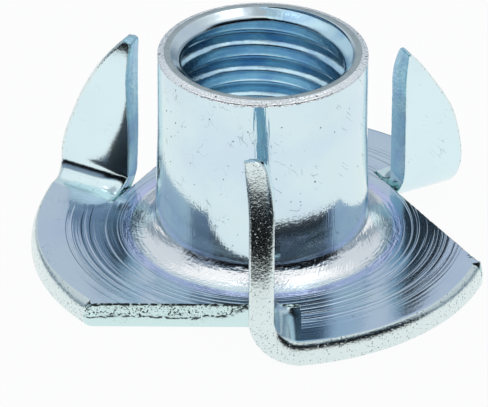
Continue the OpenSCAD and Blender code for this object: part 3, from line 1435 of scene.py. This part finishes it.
@dataclass(frozen=True)
class ZincSkin:
    """Bright zinc plating with a blue passive film, as one way of working the steel left it.

    The metal's own colour is the tone; the plating is all metal, and its roughness goes from
    0.1 where the steel under it was drawn smooth to 0.4 where it was sheared.
    """

    finish: Finish
    tone: str
    roughness: float
    grains: tuple[Grain, ...] = ()
    stains: tuple[Stain, ...] = ()
    rings: tuple[Ring, ...] = ()
    marks: Marks | None = None
    torn: TornBand | None = None

    def around(
        self, tree: bpy.types.NodeTree, place: bpy.types.Node
    ) -> tuple[bpy.types.NodeSocket, bpy.types.NodeSocket, bpy.types.NodeSocket]:
        """Measures a place from the nut's axis.

        Args:
            tree: the material's nodes.
            place: the surface's place in millimetres.

        Returns:
            The distance from the axis, the angle about it from the front, and the height.
        """
        parts = add_node(tree, "ShaderNodeSeparateXYZ", {}, {0: place})
        flat = add_node(tree, VECTOR, TIMES, {0: place, 1: (1.0, 1.0, 0.0)})
        out = add_node(tree, VECTOR, {"operation": "LENGTH"}, {0: flat}).outputs[1]
        ahead = add_node(tree, MATH, TIMES, {0: parts.outputs[1], 1: -1.0})
        turned = add_node(tree, MATH, {"operation": "ARCTAN2"}, {0: parts.outputs[0], 1: ahead})
        return out, turned.outputs[0], parts.outputs[2]

    def lay_vector(self, tree: bpy.types.NodeTree, place: bpy.types.Node, grain: Grain) -> bpy.types.Node:
        """Lays a pattern's coordinates on the nut, one unit for each of its repeats.

        Args:
            tree: the material's nodes.
            place: the surface's place in millimetres.
            grain: the pattern.

        Returns:
            The node with the coordinates.
        """
        fine, coarse = 1 / grain.fine, 1 / grain.coarse
        if grain.lay in (Lay.ALL_OVER, Lay.UPRIGHT):
            up = coarse if grain.lay is Lay.UPRIGHT else fine
            return add_node(tree, VECTOR, TIMES, {0: place, 1: (fine, fine, up)})
        out, turned, _ = self.around(tree, place)
        if grain.lay is Lay.SLANTED:
            girth = add_node(tree, MATH, TIMES, {0: turned, 1: SIZES.barrel_r})
            slant = add_node(tree, MATH, PLUS, {0: girth, 1: out})
            spot = add_node(tree, "ShaderNodeCombineXYZ", {}, {0: slant, 1: out})
            return add_node(tree, VECTOR, TIMES, {0: spot, 1: (fine, coarse, 1.0)})
        # the direction from the axis, not the angle: rings then close without a seam
        flat = add_node(tree, VECTOR, TIMES, {0: place, 1: (1.0, 1.0, 0.0)})
        way = add_node(tree, VECTOR, {"operation": "NORMALIZE"}, {0: flat})
        along = add_node(tree, VECTOR, SCALED, {0: way, "Scale": SIZES.barrel_r * coarse})
        parts = add_node(tree, "ShaderNodeSeparateXYZ", {}, {0: along})
        across = add_node(tree, MATH, TIMES, {0: out, 1: fine})
        return add_node(
            tree, "ShaderNodeCombineXYZ", {}, {0: across, 1: parts.outputs[0], 2: parts.outputs[1]}
        )

    def soft_noise(
        self, tree: bpy.types.NodeTree, place: bpy.types.Node, wide: float, long: float, detail: float
    ) -> bpy.types.Node:
        """Lays soft noise over the nut.

        Args:
            tree: the material's nodes.
            place: the surface's place in millimetres.
            wide: size of a bump across, in millimetres.
            long: size of a bump along, in millimetres.
            detail: how many finer layers it has.

        Returns:
            The noise, about 0.5 in the middle.
        """
        scaled = add_node(tree, VECTOR, TIMES, {0: place, 1: (1 / wide, 1 / long, 1 / wide)})
        links = {"Vector": scaled, "Scale": 1.0, "Detail": detail}
        return add_node(tree, "ShaderNodeTexNoise", {}, links)

    def marked(self, tree: bpy.types.NodeTree, place: bpy.types.Node, marks: Marks) -> bpy.types.Node:
        """Lays the pits and scratches.

        Args:
            tree: the material's nodes.
            place: the surface's place in millimetres.
            marks: the marks.

        Returns:
            A share that is above 0 where one shows.
        """
        scaled = add_node(tree, VECTOR, SCALED, {0: place, "Scale": 1 / marks.pit_gap})
        cells = add_node(tree, "ShaderNodeTexVoronoi", {}, {"Vector": scaled, "Scale": 1.0})
        chosen = add_node(tree, "ShaderNodeSeparateColor", {}, {0: cells.outputs["Color"]})
        widest = 0.25 + 0.7 * marks.pit_share
        size = add_node(tree, RANGE, {}, {0: chosen, 1: 1 - marks.pit_share, 2: 1.0, 3: 0.0, 4: widest})
        frayed = self.soft_noise(tree, place, marks.pit_gap * 0.4, marks.pit_gap * 0.4, 1.0)
        frayed = add_node(tree, MATH, TIMES, {0: frayed, 1: 0.4})
        reach = add_node(tree, MATH, PLUS, {0: cells.outputs["Distance"], 1: frayed})
        pit = add_node(tree, MATH, {"operation": "LESS_THAN"}, {0: reach, 1: size})
        # a scratch follows a level line of stretched noise, and shows only in some places
        tilted = add_node(
            tree, "ShaderNodeVectorRotate", {"rotation_type": "EULER_XYZ"},
            {"Vector": place, "Rotation": (0.9, 0.0, 0.45)},
        )
        wander = self.soft_noise(tree, tilted, marks.scratch_gap, marks.scratch_length, 1.0)
        away = add_node(tree, MATH, SIZE_ONLY, {0: add_node(tree, MATH, MINUS, {0: wander, 1: 0.5})})
        line = add_node(tree, RANGE, SOFT, {0: away, 1: 0.02, 2: 0.006})
        gap = self.soft_noise(tree, place, 0.8, 0.8, 2.0)
        shown = add_node(tree, RANGE, SOFT, {0: gap, 1: 0.54, 2: 0.66, 4: marks.scratch_share})
        scratch = add_node(tree, MATH, TIMES, {0: line, 1: shown})
        return add_node(tree, MATH, GREATER, {0: pit, 1: scratch})

    def ragged(self, tree: bpy.types.NodeTree, place: bpy.types.Node, torn: TornBand) -> bpy.types.Node:
        """Lays the chips and the ragged line of a torn band, and a painted shadow under the sheet's upper
        edge.

        Args:
            tree: the material's nodes.
            place: the surface's place in millimetres.
            torn: the band.

        Returns:
            A share that is above 0 where they show.
        """
        _, turned, height = self.around(tree, place)
        pitch = 2 * math.pi / SIZES.prong_count
        # the angle within one cut
        local = add_node(tree, MATH, {"operation": "WRAP"}, {0: turned, 1: pitch / 2, 2: -pitch / 2})
        rise = add_node(
            tree, RANGE, SOFT, {0: local, 1: torn.fade_from, 2: torn.fade_to, 4: torn.fade_rise}
        )
        wave = add_node(tree, MATH, MINUS, {0: self.soft_noise(tree, place, 1.0, 1.0, 8.0), 1: 0.5})
        wave = add_node(tree, MATH, TIMES, {0: wave, 1: 0.7})
        above = add_node(tree, MATH, MINUS, {0: height, 1: torn.line})
        above = add_node(tree, MATH, MINUS, {0: above, 1: wave})
        above = add_node(tree, MATH, MINUS, {0: above, 1: rise})
        # the line, thick and thin, with gaps
        thick = add_node(tree, MATH, TIMES, {0: self.soft_noise(tree, place, 0.3, 0.3, 4.0), 1: 0.07})
        near = add_node(tree, MATH, SIZE_ONLY, {0: above})
        near = add_node(tree, MATH, MINUS, {0: near, 1: thick})
        line = add_node(tree, RANGE, SOFT, {0: near, 1: 0.03, 2: -0.01})
        broken = self.soft_noise(tree, place, 0.16, 0.16, 4.0)
        broken = add_node(tree, RANGE, SOFT, {0: broken, 1: 0.38, 2: 0.52})
        line = add_node(tree, MATH, TIMES, {0: line, 1: broken})
        # chips in clusters above it
        clusters = add_node(tree, MATH, TIMES, {0: self.soft_noise(tree, place, 0.9, 0.9, 2.0), 1: 0.35})
        specks = self.soft_noise(tree, place, 0.09, 0.09, 3.0)
        specks = add_node(tree, MATH, PLUS, {0: specks, 1: clusters})
        chips = add_node(tree, RANGE, SOFT, {0: specks, 1: 0.73, 2: 0.79})
        inside = add_node(tree, RANGE, SOFT, {0: above, 1: 0.0, 2: 0.05})
        chips = add_node(tree, MATH, TIMES, {0: chips, 1: inside})
        # painted shadow, broken up by dots, under the sheet's upper edge
        lip = add_node(tree, RANGE, SOFT, {0: height, 1: SIZES.sheet - 0.1, 2: SIZES.sheet - 0.05})
        inside = add_node(tree, RANGE, SOFT, {0: above, 1: 0.0, 2: 0.1})
        lip = add_node(tree, MATH, TIMES, {0: lip, 1: inside})
        dots = self.soft_noise(tree, place, 0.2, 0.2, 3.0)
        dots = add_node(tree, RANGE, SOFT, {0: dots, 1: 0.38, 2: 0.5})
        lip = add_node(tree, MATH, TIMES, {0: lip, 1: dots})
        shown = add_node(tree, MATH, GREATER, {0: line, 1: chips})
        return add_node(tree, MATH, GREATER, {0: shown, 1: lip})

    def colour(self, tree: bpy.types.NodeTree, place: bpy.types.Node) -> bpy.types.NodeSocket | tuple:
        """Mixes the base colour: the tone, its stains and rings, and on top the marks and the torn band
        with its painted shadow.

        Args:
            tree: the material's nodes.
            place: the surface's place in millimetres.

        Returns:
            The colour, or the socket that gives it.
        """
        layers: list[tuple[bpy.types.Node, str]] = []
        for stain in self.stains:
            patch = self.soft_noise(tree, place, stain.size, stain.size, 4.0)
            share = add_node(tree, RANGE, SOFT, {0: patch, 1: 0.4, 2: 0.7, 4: stain.share})
            layers.append((share, stain.tone))
        for ring in self.rings:
            out = self.around(tree, place)[0]
            share = add_node(tree, RANGE, SOFT, {0: out, 1: ring.start, 2: ring.end, 4: ring.share})
            layers.append((share, ring.tone))
        if self.marks is not None:
            share = add_node(tree, MATH, TIMES, {0: self.marked(tree, place, self.marks), 1: 0.8})
            layers.append((share, self.marks.tone))
        if self.torn is not None:
            share = add_node(tree, MATH, TIMES, {0: self.ragged(tree, place, self.torn), 1: 0.95})
            layers.append((share, self.torn.tone))
        shade: bpy.types.NodeSocket | tuple = linear(self.tone)
        for share, tone in layers:
            shade = add_node(tree, MIX, COLOURS, {0: share, 6: shade, 7: linear(tone)}).outputs[2]
        return shade

    def relief(self, tree: bpy.types.NodeTree, place: bpy.types.Node) -> bpy.types.Node | None:
        """Bends the normal by every layer of relief, one bump on top of another.

        Args:
            tree: the material's nodes.
            place: the surface's place in millimetres.

        Returns:
            The last bump, or None where there is no relief.
        """
        layers: list[tuple[bpy.types.Node, float]] = []
        for grain in self.grains:
            spot = self.lay_vector(tree, place, grain)
            rise = add_node(
                tree, "ShaderNodeTexNoise", {}, {"Vector": spot, "Scale": 1.0, "Detail": grain.detail}
            )
            if grain.only > 0:
                rise = add_node(tree, RANGE, SOFT, {0: rise, 1: grain.only, 2: grain.only + 0.12})
            for full, gone in grain.fades:
                out, _, height = self.around(tree, place)
                share = add_node(tree, RANGE, SOFT, {0: out, 1: gone, 2: full})
                rise = add_node(tree, MATH, TIMES, {0: rise, 1: share})
                # where the sheet rises into a fold its rings are drawn out
                level = {0: height, 1: SIZES.sheet + 0.035, 2: SIZES.sheet + 0.006}
                rise = add_node(tree, MATH, TIMES, {0: rise, 1: add_node(tree, RANGE, SOFT, level)})
            layers.append((rise, grain.height))
        if self.marks is not None and self.marks.depth > 0:
            layers.append((self.marked(tree, place, self.marks), -self.marks.depth))
        bump: bpy.types.Node | None = None
        for rise, height in layers:
            links = {"Strength": 1.0, "Distance": height * MM, "Height": rise}
            if bump is not None:
                links["Normal"] = bump
            bump = add_node(tree, "ShaderNodeBump", {}, links)
        return bump

    def dress(self, material: bpy.types.Material) -> None:
        """Builds the material's nodes.

        Args:
            material: the material, whose old nodes go.
        """
        material.use_nodes = True
        tree = material.node_tree
        tree.nodes.clear()
        where = add_node(tree, "ShaderNodeTexCoord", {}, {})
        place = add_node(tree, VECTOR, SCALED, {0: where.outputs["Object"], "Scale": 1 / MM})
        links = {"Base Color": self.colour(tree, place), "Metallic": 1.0, "Roughness": self.roughness}
        bump = self.relief(tree, place)
        if bump is not None:
            links["Normal"] = bump
        shader = add_node(tree, "ShaderNodeBsdfPrincipled", {}, links)
        add_node(tree, "ShaderNodeOutputMaterial", {}, {"Surface": shader})
        LOG.info("finish %s: %d nodes", material.name, len(tree.nodes))


# Zinc plate takes the grain of the steel under it, and its passive film is blue with a green
# cast, so one metal shows as a different one wherever the steel was worked in another way. The
# plate's crystals, the die's lines and the tool's lines lie about 0.01 mm apart, too fine to
# show, so the finest layer of each finish is drawn at 0.06 to 0.15 mm.
SKINS = (
    # drawn through a ring: a mirror with slow waves, upright die lines drawn at 0.09 mm, small
    # pits and handling scratches
    ZincSkin(
        Finish.BARREL, "#d6eaf0", 0.1,
        grains=(
            Grain(Lay.ALL_OVER, 1.3, 1.3, 0.010),
            Grain(Lay.UPRIGHT, 0.09, 1.2, 0.0065),
            Grain(Lay.ALL_OVER, 0.11, 0.11, 0.0022),
        ),
        stains=(Stain("#d6ebe8", 2.5, 0.5), Stain("#c4d6ee", 3.4, 0.4)),
        marks=Marks(
            pit_gap=0.2, pit_share=0.24, scratch_gap=0.4, scratch_length=9.0, scratch_share=0.4,
            depth=0.005,
        ),
    ),
    # coined between punch and die: short strokes that glitter round the hollow, and a thicker
    # film outside them, which is violet
    ZincSkin(
        Finish.FOOT, "#f5f8fa", 0.16,
        grains=(
            Grain(Lay.ROUND, 0.11, 0.7, 0.027, 2.0),
            Grain(Lay.SLANTED, 0.12, 0.5, 0.012),
            Grain(Lay.ALL_OVER, 0.1, 0.1, 0.006),
        ),
        rings=(Ring("#bfc8f8", 5.46, 5.66, 0.7),),
    ),
    # rolled sheet, scored in rings 0.1 to 0.2 mm apart by the drawing punch: dark and pale arcs
    # that die out towards the rim
    ZincSkin(
        Finish.FLANGE, "#cbdcea", 0.15,
        grains=(
            Grain(Lay.ROUND, 0.17, 7.0, 0.021, 2.0, fades=((6.9, 6.4), (7.3, 8.6))),
            Grain(Lay.ROUND, 0.14, 9.0, 0.016, 1.0, fades=((7.6, 8.9),), only=0.52),
            Grain(Lay.ROUND, 0.12, 5.0, 0.006, 2.0, fades=((8.4, 9.6),)),
            Grain(Lay.ALL_OVER, 2.2, 2.2, 0.012),
            Grain(Lay.ALL_OVER, 0.1, 0.1, 0.0022),
        ),
        stains=(Stain("#b9c8ea", 3.0, 0.4),),
        rings=(Ring("#c2ccf6", 6.2, 5.8, 0.5),),
        marks=Marks(pit_share=0.08, scratch_share=0.25),
    ),
    # rolled sheet, folded: a plain pale mirror with slow waves
    ZincSkin(
        Finish.PRONG, "#dcf1f5", 0.14,
        grains=(Grain(Lay.ALL_OVER, 1.5, 1.5, 0.010), Grain(Lay.ALL_OVER, 0.12, 0.12, 0.0022)),
        stains=(Stain("#d2e6f0", 3.0, 0.4),),
        marks=Marks("#7d949c", pit_share=0.1, scratch_share=0.35),
    ),
    # blanked rim, tumbled: an even coarse grain with bright points, and shallow pits between
    ZincSkin(
        Finish.RIM, "#dfecec", 0.2,
        grains=(
            Grain(Lay.ALL_OVER, 0.1, 0.1, 0.01, 2.0),
            Grain(Lay.ALL_OVER, 0.6, 0.6, 0.008),
            Grain(Lay.ALL_OVER, 0.075, 0.075, 0.018, 1.0, only=0.68),
        ),
        marks=Marks("#8b999e", pit_gap=0.085, pit_share=0.62, scratch_share=0.0),
    ),
    # cut and torn: a ragged band of dark chips over a clean pale one, and a painted shadow under the
    # upper edge
    ZincSkin(
        Finish.CUT, "#d3ecec", 0.25,
        grains=(Grain(Lay.UPRIGHT, 0.1, 0.6, 0.008), Grain(Lay.ALL_OVER, 0.15, 0.15, 0.018)),
        marks=Marks("#5f7478", pit_gap=0.2, pit_share=0.25, scratch_share=0.2),
        torn=TornBand(),
    ),
    # sheared: dull blue, dragged along the stroke, with uneven film
    ZincSkin(
        Finish.SHEAR, "#bae4f0", 0.4,
        grains=(Grain(Lay.ALL_OVER, 0.14, 0.14, 0.022), Grain(Lay.ALL_OVER, 0.6, 0.6, 0.03)),
        stains=(Stain("#96aedc", 1.1, 0.5), Stain("#c4e0e4", 0.8, 0.5)),
        marks=Marks("#3a4a58", pit_gap=0.3, pit_share=0.15, scratch_share=0.3),
    ),
    # chamfered lip: rough, so it glitters, with dark nicks
    ZincSkin(
        Finish.LIP, "#f4f8fa", 0.16,
        grains=(Grain(Lay.ALL_OVER, 0.13, 0.13, 0.042, 1.0), Grain(Lay.ROUND, 0.08, 0.5, 0.01)),
        marks=Marks("#2a3236", pit_gap=0.16, pit_share=0.4, scratch_share=0.0, depth=0.012),
    ),
    # faced flat with a tool: dull and mottled
    ZincSkin(
        Finish.MOUTH, "#b4c0c3", 0.28,
        grains=(Grain(Lay.ALL_OVER, 0.11, 0.11, 0.018), Grain(Lay.ALL_OVER, 0.4, 0.4, 0.016)),
        stains=(Stain("#a4afb2", 0.5, 0.7),),
        marks=Marks("#6d787c", pit_gap=0.2, pit_share=0.3, scratch_share=0.1),
    ),
    # countersunk: smooth, with turning lines drawn at 0.06 mm
    ZincSkin(
        Finish.CONE, "#d6e4ea", 0.16,
        grains=(Grain(Lay.ROUND, 0.06, 3.0, 0.0022), Grain(Lay.UPRIGHT, 0.25, 0.6, 0.004)),
        stains=(Stain("#c6d4e6", 1.5, 0.5),),
    ),
    # tapped: fine tool marks across each turn, and film that pools blue in the grooves
    ZincSkin(
        Finish.THREAD, "#caebf8", 0.18,
        grains=(Grain(Lay.UPRIGHT, 0.09, 0.9, 0.006), Grain(Lay.ALL_OVER, 0.5, 0.5, 0.006)),
        stains=(Stain("#92bde4", 1.2, 0.7),),
    ),
)


# ---------------------------------------------------------------- studio


@dataclass
class Studio:
    """Pale floor, soft light and the camera.

    Lengths are metres for the floor and the lamps, and millimetres for the camera, like the
    nut's own. floor_white is the share of plain white that the floor shows to the camera and
    to the plating; the rest is paper that takes the nut's shadow.
    """

    floor_r: float = 4.0
    floor_white: float = 0.94
    camera_distance: float = 264.83
    camera_elevation: float = math.radians(29.93)
    camera_over: float = 4.855
    camera_aim: tuple[float, float, float] = (-0.76, -1.17, 2.82)
    camera_roll: float = math.radians(0.25)
    lens: float = 463.65
    sensor: float = 36.0

    def add_floor(self) -> bpy.types.Object:
        """Makes a round pale floor under the nut.

        Returns:
            The floor.
        """
        store = bmesh.new()
        bmesh.ops.create_circle(store, cap_ends=True, segments=96, radius=self.floor_r)
        mesh = bpy.data.meshes.new("studio_floor")
        store.to_mesh(mesh)
        store.free()
        floor = bpy.data.objects.new("studio_floor", mesh)
        bpy.context.scene.collection.objects.link(floor)
        material = bpy.data.materials.new("white_paper_floor")
        material.use_nodes = True
        tree = material.node_tree
        tree.nodes.clear()
        path = add_node(tree, "ShaderNodeLightPath", {}, {})
        seen = add_node(
            tree, MATH, GREATER, {0: path.outputs["Is Camera Ray"], 1: path.outputs["Is Glossy Ray"]}
        )
        seen = add_node(tree, MATH, GREATER, {0: seen, 1: path.outputs["Is Transmission Ray"]})
        share = add_node(tree, MATH, TIMES, {0: seen, 1: self.floor_white})
        paper = add_node(tree, "ShaderNodeBsdfDiffuse", {}, {"Color": linear("#f4f4f4")})
        glow = add_node(tree, "ShaderNodeEmission", {}, {"Color": linear("#ffffff"), "Strength": 1.0})
        mixed = add_node(tree, "ShaderNodeMixShader", {}, {0: share, 1: paper, 2: glow})
        add_node(tree, "ShaderNodeOutputMaterial", {}, {"Surface": mixed})
        mesh.materials.append(material)
        return floor

    def add_world(self) -> None:
        """Makes the room's light, which depends only on the direction it comes from."""
        world = bpy.data.worlds.new("studio_room")
        bpy.context.scene.world = world
        world.use_nodes = True
        tree = world.node_tree
        tree.nodes.clear()
        where = add_node(tree, "ShaderNodeTexCoord", {}, {})
        parts = add_node(tree, "ShaderNodeSeparateXYZ", {}, {0: where.outputs["Generated"]})
        x, y, z = parts.outputs
        level = add_node(tree, "ShaderNodeCombineXYZ", {}, {0: x, 1: y, 2: 0.0})
        level = add_node(tree, VECTOR, {"operation": "NORMALIZE"}, {0: level})
        away = add_node(tree, "ShaderNodeSeparateXYZ", {}, {0: level}).outputs[1]

        def blend(
            value: bpy.types.NodeSocket, start: float, end: float,
            below: str | bpy.types.NodeSocket, above: str | bpy.types.NodeSocket,
        ) -> bpy.types.NodeSocket:
            """Turns one colour softly into another along a direction.

            Args:
                value: how far the direction goes that way.
                start: where the change starts.
                end: where it ends.
                below: colour before the start.
                above: colour after the end.

            Returns:
                The colour.
            """
            share = add_node(tree, RANGE, SOFT, {0: value, 1: start, 2: end})
            first, second = (linear(c) if isinstance(c, str) else c for c in (below, above))
            return add_node(tree, MIX, COLOURS, {0: share, 6: first, 7: second}).outputs[2]

        # two white ceiling lights with a grey strip between them, over pale walls behind
        square = add_node(tree, MATH, TIMES, {0: x, 1: x}).outputs[0]
        ceiling = blend(square, 0.006, 0.03, "#bcc2c8", "#fafbfc")
        back = blend(z, 0.12, 0.42, "#8494a2", "#d4dae0")
        back = blend(z, 0.74, 0.86, back, ceiling)
        # in front a dark room under a bright window, with greyer walls to each side
        side = blend(z, 0.26, 0.48, "#0a0e13", "#8794a6")
        low = blend(z, 0.52, 0.66, "#07090c", "#7f9ab0")
        low = blend(away, -0.97, -0.93, "#07090c", low)
        left = blend(away, -0.72, -0.48, low, side)
        right = blend(away, -0.36, -0.16, low, side)
        dark = blend(x, -0.15, 0.15, left, right)
        front = blend(z, 0.63, 0.75, dark, "#ffffff")
        front = blend(z, 0.86, 0.95, front, ceiling)
        beside = blend(away, -0.3, 0.25, front, back)
        room = blend(y, -0.16, -0.02, beside, back)
        light = add_node(tree, "ShaderNodeBackground", {}, {"Color": room, "Strength": 1.0})
        add_node(tree, "ShaderNodeOutputWorld", {}, {"Surface": light})

    def add_lamp(self, name: str, place: tuple[float, float, float], size: float, power: float) -> None:
        """Adds a square soft lamp that faces the nut.

        Args:
            name: the lamp's name.
            place: where it stands, in metres.
            size: its side, in metres.
            power: its power in watts.
        """
        data = bpy.data.lights.new(name, "AREA")
        data.shape = "SQUARE"
        data.size = size
        data.energy = power
        lamp = bpy.data.objects.new(name, data)
        lamp.location = place
        lamp.rotation_euler = (-Vector(place)).to_track_quat("-Z", "Y").to_euler()
        bpy.context.scene.collection.objects.link(lamp)

    def add_camera(self) -> None:
        """Makes the camera: a long lens that looks down at the nut from in front."""
        back, up = math.cos(self.camera_elevation), math.sin(self.camera_elevation)
        place = Vector((0, -back, up)) * self.camera_distance + Vector((0, 0, self.camera_over))
        aim = Vector(self.camera_aim)
        data = bpy.data.cameras.new("camera")
        data.sensor_width = self.sensor
        data.lens = self.lens
        data.clip_start = 0.01
        data.clip_end = 30.0
        camera = bpy.data.objects.new("camera", data)
        camera.location = place * MM
        look = (aim - place).to_track_quat("-Z", "Y").to_matrix().to_4x4()
        roll = Matrix.Rotation(self.camera_roll, 4, "Z")
        camera.rotation_euler = (look @ roll).to_euler()
        bpy.context.scene.collection.objects.link(camera)
        bpy.context.scene.camera = camera

    def build(self) -> None:
        """Makes the whole studio."""
        self.add_floor()
        self.add_world()
        # a lamp's brightness is its power over its area and pi
        self.add_lamp("right_softbox", (0.33, 0.0, 0.9), 0.24, 0.2)
        self.add_lamp("left_softbox", (-0.2, 0.0, 0.92), 0.12, 0.05)
        self.add_camera()
        bpy.context.scene.view_settings.view_transform = "Standard"


def main() -> None:
    """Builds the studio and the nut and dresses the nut."""
    logging.basicConfig(level=logging.INFO, format="%(name)s: %(message)s")
    Studio().build()
    nut = TeeNut().build()
    for skin in SKINS:
        skin.dress(bpy.data.materials[skin.finish.value])
    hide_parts("tee_nut")
    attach(nut, "root")


if __name__ == "__main__":
    main()
